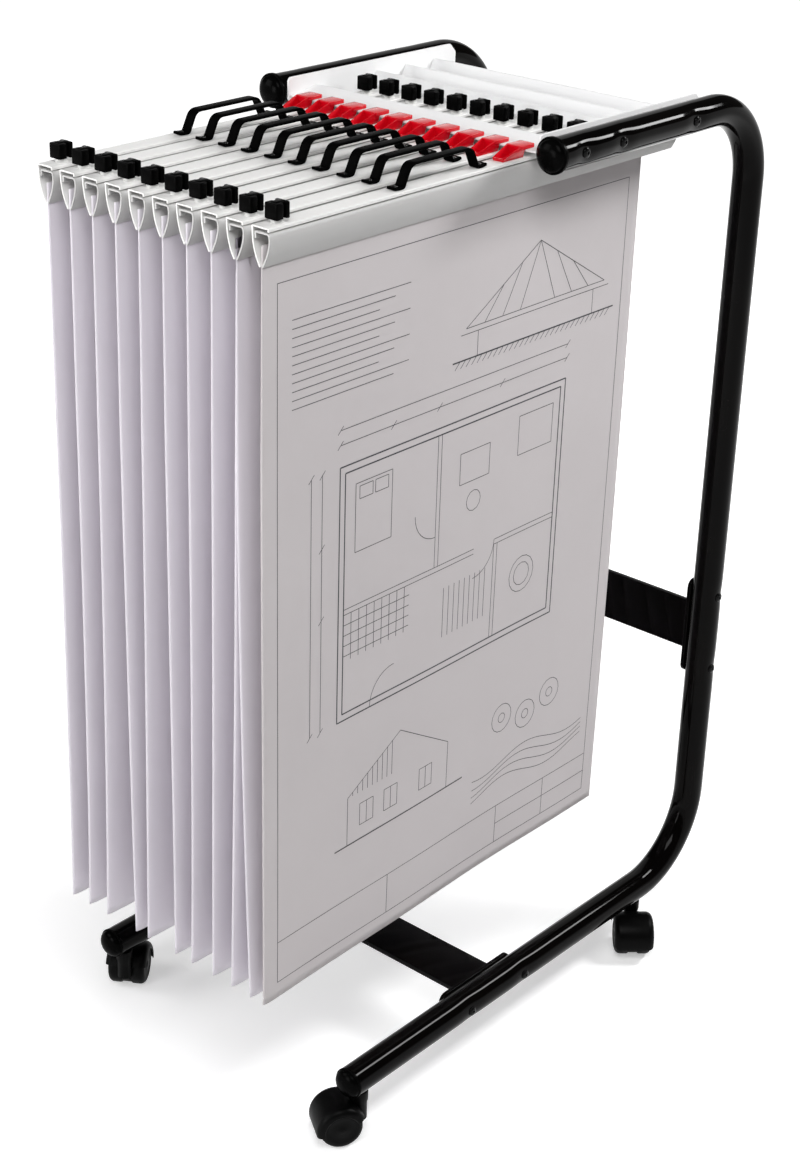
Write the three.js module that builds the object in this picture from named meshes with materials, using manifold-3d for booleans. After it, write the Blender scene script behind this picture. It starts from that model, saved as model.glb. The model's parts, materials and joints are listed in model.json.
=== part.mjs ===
// Plan hanging rack: a trolley of two bent tubes on castors, whose white rack carries ten clamp
// hangers side by side. Each hanger grips one large drawing sheet by its top edge.
// Millimetres, +Z up, +X right, -Y front. The origin is on the floor under the middle of the box.

import * as THREE from 'three';
import { mergeVertices } from 'three/addons/utils/BufferGeometryUtils.js';
import Module from 'manifold-3d';

const wasm = await Module();
wasm.setup();

// Clearance between pieces that touch
const seat = 0.3;

// Side frames, each one bent tube: arm, upright and leg
const tubeDiameter = 36;
const tubeWall = 2;
const tubeSpacing = 392;
const legToArm = 1000;
const armReach = 372;
const legReach = 652;
const topBend = 90;
const footBend = 105;
const tubeFacets = 16;
const bendSteps = 6;

// End caps of the tubes
const capRimOver = 1.5;
const capRimLength = 5;
const capDome = 8;
const capPlugDepth = 18;
const legCapRound = 12;
const capFacets = 16;

// Crossbars: a flat bar with a bolted plate at each end
const barWidth = 66;
const barThickness = 7;
const endPlateLength = 128;
const endPlateWidth = 20;
const endPlateThickness = 5;
const upperBarAboveLeg = 332;
const lowerBarBehindLegEnd = 245;

// Twin-wheel castors
const castorHeight = 63;
const wheelDiameter = 50;
const wheelWidth = 17;
const wheelEdgeRound = 7;
const wheelInnerRound = 2;
const castorWeb = 10;
const wheelGap = 1;
const hoodClearance = 1.5;
const hoodWall = 2.5;
const hoodDropRear = 6;
const hoodRiseFront = 12;
const castorTrail = 25;
const axleDiameter = 8;
const axleBossWall = 5;
const neckDiameter = 20;
const stemDiameter = 11;
const stemDepth = 14;
const stemPlugGap = 3;
const frontStemInset = 17;
const rearStemInset = 6;
const wheelFacets = 20;
const castorYaw = { front_left: 214, front_right: -33, rear_left: 137, rear_right: 43 };

// White rack between the arms
const plateThickness = 3;
const plateHeight = 34;
const plateChamfer = 10;
const plateTopFrontChamfer = 3;
const plateInset = 1;
const sheetMetal = 2;
const railInset = 2;
const railLipSpare = 1.5;
const railSlope = 26;
const railTail = 16;
const railRidge = 15;
const railTailDrop = 7;
const knobToPanel = 22.5;
const panelInset = 22;
const ridgeCount = 3;
const ridgePitch = 51;
const ridgeRise = 15;
const ridgeRun = 7;
const panelTail = 18;

// Hangers: two jaws drawn together by two knobs
const hangerCount = 10;
const hangerSideGap = 13.9;
const hangerLength = 650;
const hangerBelowArm = 10;
const hangerWidth = 24;
const hangerHeight = 38;
const jawWall = 1.6;
const flangeGap = 3.4;
const flangeInset = 3;
const outerLip = 3.6;
const innerLip = 6;
const jawCurveSteps = 5;

// Knobs and the studs that they turn on
const frontKnobInset = 21;
const knobBehindRail = 31.5;
const knobWidth = 16;
const knobDepth = 18;
const knobHeight = 16;
const knobWaist = 9;
const knobFrontBlock = 10;
const knobRearSlab = 4.5;
const washerDiameter = 12;
const washerHeight = 3.7;
const pinDiameter = 5;
const pinHeight = 6;
const pinFacets = 8;

// Carrying handle of each hanger
const handleInset = 247;
const handleTop = 92;
const handleHeel = 113;
const handleToe = 138;
const handleHeight = 24;
const toeLift = 2;
const strapWidth = 13;
const strapThickness = 3;
const sink = 0.4;

// Hook clip of each hanger
const clipInset = 341;
const clipLength = 33;
const clipTongue = 15;
const clipWidth = 15;
const clipHeight = 12.5;
const clipFrontEdge = 2;
const clipRamp = 16;
const tongueThickness = 4;
const clipStop = 0.5;

// Sheets, hung with their short side in the jaws, and how far each bottom corner sways sideways
const sheetWidth = 594;
const sheetDrop = 841;
const sheetThickness = 0.8;
const sheetGrip = 20;
const sheetInset = 1;
const sheetColumns = 4;
const sheetRows = 8;
const leafSways = [
  [{ front: -8, rear: 4 }],
  [{ front: -11, rear: -3 }],
  [{ front: -15, rear: -6 }],
  [{ front: -1, rear: 5 }],
  [{ front: -14, rear: -4 }],
  [{ front: -1, rear: 3 }],
  [{ front: -6, rear: 2 }],
  [{ front: -7, rear: -5 }],
  [{ front: -14, rear: -8 }, { front: 16, rear: 3 }],
  [{ front: 2, rear: -6 }],
];

// Heights, and distances along Y from the uprights' centre line, that follow from the sizes above
const tubeRadius = tubeDiameter / 2;
const tubeX = tubeSpacing / 2;
const legZ = castorHeight + tubeRadius;
const armZ = legZ + legToArm;
const innerFace = tubeX - tubeRadius - seat;
const rackHalf = innerFace - plateThickness - seat;
const plateFront = plateInset - armReach;
const railFront = plateFront + railInset;
const railLip = clipTongue - clipStop + railLipSpare;
const railRear = railFront + railLip + railSlope + railTail;
const hangerTop = armZ - hangerBelowArm;
const hangerPitch = (2 * rackHalf - hangerWidth - 2 * hangerSideGap) / (hangerCount - 1);
const flangeEdge = hangerWidth / 2 - flangeInset;
const jawSlit = sheetThickness + 2 * seat;
const clipRear = clipInset + clipLength;
const hangerFront = railFront - clipStop - clipRear;
const rearKnobInset = railRear + knobBehindRail + knobDepth / 2 - hangerFront;
const firstRidge = railRear + knobBehindRail + knobDepth + knobToPanel + 2 * ridgeRun;
const panelRear = firstRidge + (ridgeCount - 1) * ridgePitch + panelTail;
const plateLength = panelRear + panelInset - plateFront;
const plateRear = plateFront + plateLength;
const lipTop = hangerTop + clipHeight - tongueThickness - seat;
const wheelRadius = wheelDiameter / 2;
const wheelInner = castorWeb / 2 + wheelGap;
const wheelOuter = wheelInner + wheelWidth;
const legPlugDepth = frontStemInset - stemDiameter / 2 - stemPlugGap;
const stemPlaces = [frontStemInset - legReach, -footBend - rearStemInset];
const middleY = (tubeRadius + hangerFront) / 2;

// Materials
const finish = (color, roughness, metalness) => new THREE.MeshStandardMaterial({ color, roughness, metalness });
const blackPaint = () => finish(0x0b0b0c, 0.15, 0.0);
const blackPlastic = () => finish(0x101012, 0.45, 0.0);
const whitePaint = () => finish(0xf2f2f2, 0.35, 0.0);
const hangerPlastic = () => finish(0xdcdcd6, 0.4, 0.0);
const paper = () => finish(0xe9e7f0, 0.85, 0.0);

// Booleans on closed geometry
function toSolid(geometry) {
  const bare = geometry.clone();
  bare.deleteAttribute('normal');
  bare.deleteAttribute('uv');
  const merged = mergeVertices(bare, 1e-4);
  return new wasm.Manifold(
    new wasm.Mesh({
      numProp: 3,
      vertProperties: new Float32Array(merged.attributes.position.array),
      triVerts: new Uint32Array(merged.index.array),
    }),
  );
}

function toGeometry(solid) {
  const mesh = solid.getMesh();
  const geometry = new THREE.BufferGeometry();
  geometry.setAttribute('position', new THREE.BufferAttribute(mesh.vertProperties, 3));
  geometry.setIndex(new THREE.BufferAttribute(mesh.triVerts, 1));
  geometry.computeVertexNormals();
  return geometry;
}

function join(...geometries) {
  return toGeometry(geometries.map(toSolid).reduce((sum, next) => sum.add(next)));
}

function cut(geometry, ...tools) {
  return toGeometry(tools.map(toSolid).reduce((left, tool) => left.subtract(tool), toSolid(geometry)));
}

// Extrusions of a flat outline along each axis
const point = (u, v) => new THREE.Vector2(u, v);
const axisX = new THREE.Vector3(1, 0, 0);
const axisY = new THREE.Vector3(0, 1, 0);
const axisZ = new THREE.Vector3(0, 0, 1);

function prism(outline, depth) {
  return new THREE.ExtrudeGeometry(new THREE.Shape(outline), { depth, bevelEnabled: false, steps: 1 });
}

function alongX(outlineYZ, start, end) {
  const turn = new THREE.Matrix4().makeBasis(axisY, axisZ, axisX);
  return prism(outlineYZ, end - start).applyMatrix4(turn).translate(start, 0, 0);
}

function alongY(outlineXZ, start, end) {
  const turn = new THREE.Matrix4().makeBasis(axisX, axisZ, axisY.clone().negate());
  return prism(outlineXZ, end - start).applyMatrix4(turn).translate(0, end, 0);
}

function alongZ(outlineXY, start, end) {
  return prism(outlineXY, end - start).translate(0, 0, start);
}

// A run of points on a circle, counter-clockwise from one angle to another in degrees
function arc(centre, radius, from, to, steps) {
  return Array.from({ length: steps + 1 }, (_, i) => {
    const angle = THREE.MathUtils.degToRad(from + ((to - from) * i) / steps);
    return point(centre.x + radius * Math.cos(angle), centre.y + radius * Math.sin(angle));
  });
}

function circle(centre, radius, facets) {
  return arc(centre, radius, 0, 360, facets).slice(0, facets);
}

function rectangle(centre, width, height) {
  const [w, h] = [width / 2, height / 2];
  return [point(-w, -h), point(w, -h), point(w, h), point(-w, h)].map((p) => p.add(centre));
}

function upright(x, y, diameter, bottom, top, facets) {
  return alongZ(circle(point(x, y), diameter / 2, facets), bottom, top);
}

// The radius of a faceted hole whose flats clear a round pin by the seat
function holeRadius(pin, facets) {
  return (pin / 2 + seat) / Math.cos(Math.PI / facets);
}

// The outline of a folded sheet of even thickness whose middle line follows the points
function foldedSheet(points, thickness) {
  const side = (sign) =>
    points.map((p, i) => {
      const before = points[Math.max(i - 1, 0)];
      const after = points[Math.min(i + 1, points.length - 1)];
      const into = (i > 0 ? p.clone().sub(before) : after.clone().sub(p)).normalize();
      const out = (i < points.length - 1 ? after.clone().sub(p) : into.clone()).normalize();
      const normal = point(-into.y - out.y, into.x + out.x).normalize();
      const mitre = normal.dot(point(-into.y, into.x));
      return p.clone().addScaledVector(normal, (sign * thickness) / 2 / mitre);
    });
  return [...side(-1), ...side(1).reverse()];
}

// A path whose equal steps fall on chosen stations, so that straight runs take one step
class StationPath extends THREE.Curve {
  constructor(stations) {
    super();
    this.stations = stations;
  }

  getPoint(t, target = new THREE.Vector3()) {
    const at = t * (this.stations.length - 1);
    const i = Math.min(Math.floor(at), this.stations.length - 2);
    return target.lerpVectors(this.stations[i].place, this.stations[i + 1].place, at - i);
  }

  getPointAt(u, target) {
    return this.getPoint(u, target);
  }

  getTangentAt(u, target = new THREE.Vector3()) {
    return target.copy(this.stations[Math.round(u * (this.stations.length - 1))].heading);
  }
}

// Side tube: along the arm to the rear, down the upright and forward along the leg
function sideTube(x) {
  const station = (y, z, angle) => {
    const turn = THREE.MathUtils.degToRad(angle);
    return {
      place: new THREE.Vector3(x, y, z),
      heading: new THREE.Vector3(0, Math.cos(turn), Math.sin(turn)),
    };
  };
  const bend = (centreY, centreZ, radius, from) =>
    Array.from({ length: bendSteps + 1 }, (_, i) => {
      const angle = from - (90 * i) / bendSteps;
      const turn = THREE.MathUtils.degToRad(angle);
      const y = centreY - radius * Math.sin(turn);
      const z = centreZ + radius * Math.cos(turn);
      return station(y, z, angle);
    });
  const stations = [
    station(-armReach, armZ, 0),
    ...bend(-topBend, armZ - topBend, topBend, 0),
    ...bend(-footBend, legZ + footBend, footBend, -90),
    station(-legReach, legZ, -180),
  ];
  const ring = new THREE.Shape(circle(point(0, 0), tubeRadius, tubeFacets));
  ring.holes.push(new THREE.Path(circle(point(0, 0), tubeRadius - tubeWall, tubeFacets)));
  const tube = new THREE.ExtrudeGeometry(ring, {
    steps: stations.length - 1,
    extrudePath: new StationPath(stations),
  });
  const hole = 2 * holeRadius(stemDiameter, pinFacets);
  const stemHole = (y) => upright(x, y, hole, legZ - tubeDiameter, legZ, pinFacets);
  return cut(tube, ...stemPlaces.map(stemHole));
}

// Caps: a plug in the tube's bore, and a rim with a dome, or a rounded nose, outside it
function lathedCap(profile, x, endY, z) {
  const points = profile.map(([radius, forward]) => point(radius, -forward));
  return new THREE.LatheGeometry(points, capFacets).translate(x, endY, z);
}

function armCap(x) {
  const plug = tubeRadius - tubeWall - seat;
  const rim = tubeRadius + capRimOver;
  return lathedCap(
    [
      [0, capRimLength + capDome],
      [rim * 0.6, capRimLength + capDome * 0.8],
      [rim, capRimLength],
      [rim, seat],
      [plug, seat],
      [plug, -capPlugDepth],
      [0, -capPlugDepth],
    ],
    x,
    -armReach,
    armZ,
  );
}

function legCap(x) {
  const plug = tubeRadius - tubeWall - seat;
  return lathedCap(
    [
      [0, legCapRound],
      [tubeRadius * 0.7, legCapRound * 0.8],
      [tubeRadius, legCapRound * 0.3],
      [tubeRadius, seat],
      [plug, seat],
      [plug, -legPlugDepth],
      [0, -legPlugDepth],
    ],
    x,
    -legReach,
    legZ,
  );
}

// Crossbars, each a bar between two round-ended plates that lie on the tubes
function roundEnded(centre, length, width, upwards) {
  const radius = width / 2;
  const reach = length / 2 - radius;
  const [along, turn] = upwards ? [point(0, reach), 0] : [point(reach, 0), -90];
  return [
    ...arc(centre.clone().add(along), radius, turn, turn + 180, bendSteps),
    ...arc(centre.clone().sub(along), radius, turn + 180, turn + 360, bendSteps),
  ];
}

function crossbar(y, z, upwards) {
  const centre = point(y, z);
  const plate = roundEnded(centre, endPlateLength, endPlateWidth, upwards);
  const [deep, high] = upwards ? [barThickness, barWidth] : [barWidth, barThickness];
  const inner = innerFace - endPlateThickness;
  return join(
    alongX(rectangle(centre, deep, high), -inner - sink, inner + sink),
    alongX(plate, inner, innerFace),
    alongX(plate, -innerFace, -inner),
  );
}

// Rack plates: long octagons inside the arms
function rackPlate(side) {
  const [bottom, top] = [armZ - plateHeight / 2, armZ + plateHeight / 2];
  const [c, front] = [plateChamfer, plateTopFrontChamfer];
  const octagon = [
    point(plateFront + c, bottom),
    point(plateRear - c, bottom),
    point(plateRear, bottom + c),
    point(plateRear, top - c),
    point(plateRear - c, top),
    point(plateFront + front, top),
    point(plateFront, top - front),
    point(plateFront, bottom + c),
  ];
  const faces = [side * innerFace, side * (innerFace - plateThickness)].sort((a, b) => a - b);
  return alongX(octagon, ...faces);
}

// Front rail: a lip for the hook clips, a slope up to a ridge, and a short fall behind it
function frontRail() {
  const half = sheetMetal / 2;
  const lipEnd = railFront + railLip;
  const ridge = lipEnd + railSlope;
  const line = [
    point(railFront, lipTop - half),
    point(lipEnd, lipTop - half),
    point(ridge, hangerTop + railRidge - half),
    point(railRear, hangerTop + railRidge - railTailDrop - half),
  ];
  return alongX(foldedSheet(line, sheetMetal), -rackHalf, rackHalf);
}

// Rear panel: pressed ridges over the hangers' tails, which bear up against its valleys
function rearPanel() {
  const low = hangerTop + seat + sheetMetal / 2;
  const high = hangerTop + ridgeRise - sheetMetal / 2;
  const line = [point(firstRidge - 2 * ridgeRun, low)];
  for (let i = 0; i < ridgeCount; i += 1) {
    const ridge = firstRidge + i * ridgePitch;
    line.push(point(ridge - ridgeRun, low), point(ridge, high));
  }
  line.push(point(panelRear, low));
  return alongX(foldedSheet(line, sheetMetal), -rackHalf, rackHalf);
}

// Castors: a hood with its neck and stem that swivels in the leg, and a wheel pair on one axle
function spunOnAxle(profile) {
  const points = profile.map(([radius, x]) => point(radius, x));
  return new THREE.LatheGeometry(points, wheelFacets)
    .rotateZ(-Math.PI / 2)
    .translate(0, -castorTrail, wheelRadius);
}

// The outer edge of a wheel or hood, from its rim in to its side face
function roundedEdge(radius, side) {
  return arc(point(radius - wheelEdgeRound, side - wheelEdgeRound), wheelEdgeRound, 0, 90, bendSteps / 2).map(
    (p) => [p.x, p.y],
  );
}

const mirrored = (profile) => profile.map(([radius, x]) => [radius, -x]).reverse();

function castorHood() {
  const axle = point(-castorTrail, wheelRadius);
  const bore = wheelRadius + hoodClearance;
  const cover = bore + hoodWall;
  const side = wheelOuter + hoodWall;
  const boss = axleDiameter / 2 + axleBossWall;
  const edge = [...roundedEdge(cover, side), [0, side]];
  const below = [
    point(axle.x - 2 * cover, -cover),
    point(axle.x + 2 * cover, -cover),
    point(axle.x + 2 * cover, wheelRadius + hoodRiseFront),
    point(axle.x, wheelRadius + hoodRiseFront),
    point(axle.x - cover, wheelRadius - hoodDropRear),
    point(axle.x - 2 * cover, wheelRadius - hoodDropRear),
  ];
  const shell = cut(spunOnAxle([...mirrored(edge), ...edge]), alongX(below, -2 * side, 2 * side));
  const web = [...arc(axle, cover, 0, 180, wheelFacets / 2), ...arc(axle, boss, 180, 360, bendSteps)];
  const body = join(
    shell,
    alongX(web, -castorWeb / 2, castorWeb / 2),
    upright(0, 0, neckDiameter, wheelRadius, castorHeight - seat, wheelFacets / 2),
    upright(0, 0, stemDiameter, wheelDiameter, castorHeight + stemDepth, pinFacets),
  );
  const rim = roundedEdge(bore, wheelOuter + hoodClearance);
  const mouth = rim[rim.length - 1][0];
  const wheelSpace = [[0, castorWeb / 2], [bore, castorWeb / 2], ...rim, [mouth, 2 * side], [0, 2 * side]];
  return cut(
    body,
    spunOnAxle(wheelSpace),
    spunOnAxle(mirrored(wheelSpace)),
    alongX(circle(axle, holeRadius(axleDiameter, pinFacets), pinFacets), -castorWeb, castorWeb),
  );
}

function castorWheels() {
  const half = [
    [axleDiameter / 2, wheelInner],
    [wheelRadius - wheelInnerRound, wheelInner],
    [wheelRadius, wheelInner + wheelInnerRound],
    ...roundedEdge(wheelRadius, wheelOuter),
    [0, wheelOuter],
  ];
  return spunOnAxle([...mirrored(half), ...half]);
}

// Hanger jaws, seen from the front: the outer jaw on the left covers the inner jaw's flange
function outerJaw() {
  const half = jawWall / 2;
  const left = -hangerWidth / 2 + half;
  const wall = new THREE.QuadraticBezierCurve(
    point(left, -half),
    point(left, -hangerHeight * 0.6),
    point(-jawSlit / 2 - half, -hangerHeight),
  );
  return foldedSheet(
    [point(flangeEdge, -outerLip), point(flangeEdge, -half), ...wall.getPoints(jawCurveSteps)],
    jawWall,
  );
}

function innerJaw() {
  const half = jawWall / 2;
  const flange = -jawWall - flangeGap - half;
  const right = hangerWidth / 2 - half;
  const left = jawWall - hangerWidth / 2 + flangeGap;
  const wall = new THREE.CubicBezierCurve(
    point(flangeEdge - jawWall, flange),
    point(right + jawWall, flange),
    point(right, -hangerHeight * 0.6),
    point(jawSlit / 2 + half, -hangerHeight),
  );
  return foldedSheet(
    [point(left, flange - innerLip), point(left, flange), ...wall.getPoints(jawCurveSteps)],
    jawWall,
  );
}

function knobStud(y) {
  const flangeBottom = -2 * jawWall - flangeGap;
  const washer = upright(0, y, washerDiameter, flangeBottom + sink, washerHeight, pinFacets);
  const pin = upright(0, y, pinDiameter, 0, washerHeight + pinHeight, pinFacets);
  return join(washer, pin);
}

function handle() {
  const low = strapThickness / 2 - sink;
  const high = handleHeight - strapThickness / 2;
  const flat = (handleHeel + handleToe) / 4;
  const half = [
    point(handleTop / 2, high),
    point(handleHeel / 2, low),
    point(flat, low),
    point(handleToe / 2, low + toeLift),
  ];
  const mirrored = half.map((p) => point(-p.x, p.y)).reverse();
  return alongX(foldedSheet([...mirrored, ...half], strapThickness), -strapWidth / 2, strapWidth / 2);
}

function hookClip() {
  const underTongue = clipHeight - tongueThickness;
  const outline = [
    point(0, -sink),
    point(clipLength, -sink),
    point(clipLength, underTongue),
    point(clipLength + clipTongue, underTongue),
    point(clipLength + clipTongue, clipHeight),
    point(clipRamp, clipHeight),
    point(0, clipFrontEdge),
  ];
  return alongX(outline, -clipWidth / 2, clipWidth / 2);
}

function hangerBody() {
  return join(
    alongY(outerJaw(), 0, hangerLength),
    alongY(innerJaw(), 0, hangerLength),
    knobStud(frontKnobInset),
    knobStud(rearKnobInset),
    handle().translate(0, handleInset, 0),
    hookClip().translate(0, clipInset, 0),
  );
}

// Knob: a block and a slab joined by a narrow waist, bored for its pin
function knob() {
  const [front, rear] = [-knobDepth / 2, knobDepth / 2];
  const [wide, narrow] = [knobWidth / 2, knobWaist / 2];
  const right = [
    point(wide, front),
    point(wide, front + knobFrontBlock),
    point(narrow, front + knobFrontBlock),
    point(narrow, rear - knobRearSlab),
    point(wide, rear - knobRearSlab),
    point(wide, rear),
  ];
  const left = right.map((p) => point(-p.x, p.y)).reverse();
  const bottom = washerHeight + seat;
  return cut(
    alongZ([...right, ...left], bottom, bottom + knobHeight),
    upright(0, 0, 2 * holeRadius(pinDiameter, pinFacets), 0, washerHeight + pinHeight + seat, pinFacets),
  );
}

// Sheet leaf: straight in the jaws, then swaying as the square of its fall below them
function sheetLeaf(sway) {
  const leaf = new THREE.BoxGeometry(
    sheetThickness,
    sheetWidth,
    sheetDrop,
    1,
    sheetColumns,
    sheetRows,
  ).translate(0, sheetInset + sheetWidth / 2, sheetGrip - hangerHeight - sheetDrop / 2);
  const place = leaf.attributes.position;
  for (let i = 0; i < place.count; i += 1) {
    const back = (place.getY(i) - sheetInset) / sheetWidth;
    const fall = Math.max(0, -hangerHeight - place.getZ(i)) / (sheetDrop - sheetGrip);
    const reach = THREE.MathUtils.lerp(sway.front, sway.rear, back);
    place.setX(i, place.getX(i) + reach * fall * fall);
  }
  return leaf;
}

function hungSheet(sways) {
  const leaves = sways.map(sheetLeaf);
  return leaves.length > 1 ? join(...leaves) : leaves[0];
}

// Assembly
const rack = new THREE.Group();

function add(parent, name, geometry, material) {
  const mesh = new THREE.Mesh(geometry, material);
  mesh.name = name;
  parent.add(mesh);
}

const sides = { left: -1, right: 1 };

for (const [name, side] of Object.entries(sides)) {
  const x = side * tubeX;
  add(rack, `${name}_side_tube`, sideTube(x), blackPaint());
  add(rack, `${name}_arm_cap`, armCap(x), blackPlastic());
  add(rack, `${name}_leg_cap`, legCap(x), blackPlastic());
  add(rack, `${name}_rack_plate`, rackPlate(side), whitePaint());
}

add(rack, 'upper_crossbar', crossbar(0, legZ + upperBarAboveLeg, true), blackPaint());
add(rack, 'lower_crossbar', crossbar(lowerBarBehindLegEnd - legReach, legZ, false), blackPaint());
add(rack, 'front_rail', frontRail(), whitePaint());
add(rack, 'rear_panel', rearPanel(), whitePaint());

for (const [sideName, side] of Object.entries(sides)) {
  for (const [endName, stemY] of [['front', stemPlaces[0]], ['rear', stemPlaces[1]]]) {
    const name = `${endName}_${sideName}`;
    const castor = new THREE.Group();
    castor.position.set(side * tubeX, stemY, 0);
    castor.rotation.z = THREE.MathUtils.degToRad(castorYaw[name]);
    add(castor, `${name}_castor_hood`, castorHood(), blackPlastic());
    add(castor, `${name}_castor_wheels`, castorWheels(), blackPlastic());
    rack.add(castor);
  }
}

for (let i = 0; i < hangerCount; i += 1) {
  const number = i + 1;
  const hanger = new THREE.Group();
  hanger.position.set((i - (hangerCount - 1) / 2) * hangerPitch, hangerFront, hangerTop);
  add(hanger, `hanger_${number}`, hangerBody(), hangerPlastic());
  add(hanger, `sheet_${number}`, hungSheet(leafSways[i % leafSways.length]), paper());
  add(hanger, `front_knob_${number}`, knob().translate(0, frontKnobInset, 0), blackPlastic());
  add(hanger, `rear_knob_${number}`, knob().translate(0, rearKnobInset, 0), blackPlastic());
  rack.add(hanger);
}

rack.position.y = -middleY;

export default rack;
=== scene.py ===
# %% [markdown]
# # A plan hanging rack
#
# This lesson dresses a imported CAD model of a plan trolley: two bent tubes on castors, a white rack
# between their arms, and ten clamp hangers that each grip a drawing sheet. The CAD model is a fixed
# frame. Every new piece is placed from the sizes of its nodes, so nothing has to be fitted by eye.

# %% Load the fixed frame
import json

import bmesh
import bpy
import numpy as np
from mathutils import Matrix, Vector


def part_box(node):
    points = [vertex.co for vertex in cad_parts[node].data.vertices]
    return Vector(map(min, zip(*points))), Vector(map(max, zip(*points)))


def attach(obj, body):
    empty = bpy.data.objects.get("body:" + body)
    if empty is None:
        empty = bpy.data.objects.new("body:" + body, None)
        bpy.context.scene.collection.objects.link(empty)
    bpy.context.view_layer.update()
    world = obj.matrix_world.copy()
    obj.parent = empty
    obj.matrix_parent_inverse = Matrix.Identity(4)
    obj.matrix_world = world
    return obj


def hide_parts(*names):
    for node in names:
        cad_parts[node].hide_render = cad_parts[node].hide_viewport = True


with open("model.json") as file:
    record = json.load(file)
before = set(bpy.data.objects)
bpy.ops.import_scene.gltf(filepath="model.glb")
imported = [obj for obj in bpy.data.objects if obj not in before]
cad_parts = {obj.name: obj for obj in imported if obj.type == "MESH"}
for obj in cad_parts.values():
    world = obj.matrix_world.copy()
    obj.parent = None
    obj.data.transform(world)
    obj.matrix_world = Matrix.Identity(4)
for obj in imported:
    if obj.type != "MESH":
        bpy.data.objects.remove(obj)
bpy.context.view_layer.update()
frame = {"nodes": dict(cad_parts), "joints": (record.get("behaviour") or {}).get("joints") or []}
print("CAD nodes:", len(frame["nodes"]))

# %% [markdown]
# ## Measures of the frame
#
# Metres are awkward for parts that are a few millimetres thick, so all shapes here are worked out in
# millimetres and turned into metres when a mesh is made. The tubes are round, so the box around one
# already tells their radius, the height of arm and leg, and where the upright stands.

# %% Sizes read from the nodes
METRE = 1000.0


def node_box(node):
    """The lowest and highest corner of a CAD node, in millimetres."""
    return np.array(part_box(node)) * METRE


def node_middle(node):
    """The middle of a CAD node's box."""
    return np.mean(node_box(node), axis=0)


tube_low, tube_high = node_box("right_side_tube")
tube_radius = (tube_high[0] - tube_low[0]) / 2
tube_x = node_middle("right_side_tube")[0]
arm_z = tube_high[2] - tube_radius
leg_z = tube_low[2] + tube_radius
upright_y = tube_high[1] - tube_radius
leg_front = tube_low[1]
print("tubes at x = +-%.1f, arm %.1f and leg %.1f above the floor" % (tube_x, arm_z, leg_z))

hanger_count = sum(name.startswith("hanger_") for name in frame["nodes"])
knob_low, knob_high = node_box("front_knob_1")
knob_over_flange = 4.0
hanger_top = knob_low[2] - knob_over_flange
hanger_front, hanger_rear = (corner[1] for corner in node_box("hanger_1"))
hanger_x = [node_middle(f"front_knob_{n + 1}")[0] for n in range(hanger_count)]
print("%d hangers, %.1f long, tops at %.1f" % (hanger_count, hanger_rear - hanger_front, hanger_top))

# %% [markdown]
# ## From formulas to meshes
#
# A surface is a grid of points: rows follow one parameter and columns the other. One function numbers
# the four corners of every cell of the grid, so no loop runs over vertices. A wrapped direction joins
# its last line to its first, and flat caps close the two ends of a tube-like shape.

# %% Grid surfaces
sharp_angle = np.radians(38.0)
weld_distance = 2e-6


def shell(points, wrap_rows=False, wrap_columns=True, caps=True):
    """Vertices and faces of a grid: cell (i, j) joins points (i, j), (i, j+1), (i+1, j+1), (i+1, j)."""
    rows, columns = points.shape[:2]
    i, j = np.meshgrid(
        np.arange(rows if wrap_rows else rows - 1),
        np.arange(columns if wrap_columns else columns - 1),
        indexing="ij",
    )
    down, across = (i + 1) % rows, (j + 1) % columns
    corners = [i * columns + j, i * columns + across, down * columns + across, down * columns + j]
    faces = np.stack(corners, -1).reshape(-1, 4).tolist()
    if caps:
        first = np.arange(columns)
        faces += [first[::-1].tolist(), (first + (rows - 1) * columns).tolist()]
    return points.reshape(-1, 3), faces


def new_object(name, data):
    """A mesh, lamp or camera put into the scene."""
    made = bpy.data.objects.new(name, data)
    bpy.context.scene.collection.objects.link(made)
    return made


def piece(name, shells, material, body, replaces=(), edge=0.0):
    """One object from several shells, welded, turned outwards, and riding on a CAD body."""
    starts = np.cumsum([0] + [len(points) for points, _ in shells])
    points = np.concatenate([p for p, _ in shells]) / METRE
    faces = [[int(s) + c for c in f] for s, (_, part) in zip(starts, shells) for f in part]
    mesh = bpy.data.meshes.new(name)
    mesh.from_pydata(points.tolist(), [], faces)
    work = bmesh.new()
    work.from_mesh(mesh)
    bmesh.ops.remove_doubles(work, verts=work.verts, dist=weld_distance)
    bmesh.ops.recalc_face_normals(work, faces=work.faces)
    work.to_mesh(mesh)
    work.free()
    mesh.shade_smooth()
    mesh.set_sharp_from_angle(angle=sharp_angle)
    mesh.materials.append(material)
    made = new_object(name, mesh)
    if edge:
        bevel = made.modifiers.new("softened edges", "BEVEL")
        bevel.width = edge / METRE
        bevel.segments = 2
        bevel.limit_method = "ANGLE"
        bevel.angle_limit = sharp_angle
    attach(made, body)
    if replaces:
        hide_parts(*replaces)
    return made


# %% Lines and outlines
def unit(rows):
    """Each row shortened to length 1."""
    return rows / np.linalg.norm(rows, axis=-1, keepdims=True)


def soften(corners, reach, steps=6, closed=False):
    """Round the corners of a line: a quadratic blend from `reach` before each corner to `reach` after."""
    p = np.asarray(corners, float)
    before, after = np.roll(p, 1, 0) - p, np.roll(p, -1, 0) - p
    reach = np.broadcast_to(np.asarray(reach, float), len(p))[:, None]
    start, end = p + unit(before) * reach, p + unit(after) * reach
    t = np.linspace(0, 1, steps)[None, :, None]
    curve = (1 - t) ** 2 * start[:, None] + 2 * t * (1 - t) * p[:, None] + t**2 * end[:, None]
    if closed:
        return curve.reshape(-1, p.shape[1])
    return np.concatenate([p[:1], curve[1:-1].reshape(-1, p.shape[1]), p[-1:]])


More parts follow.
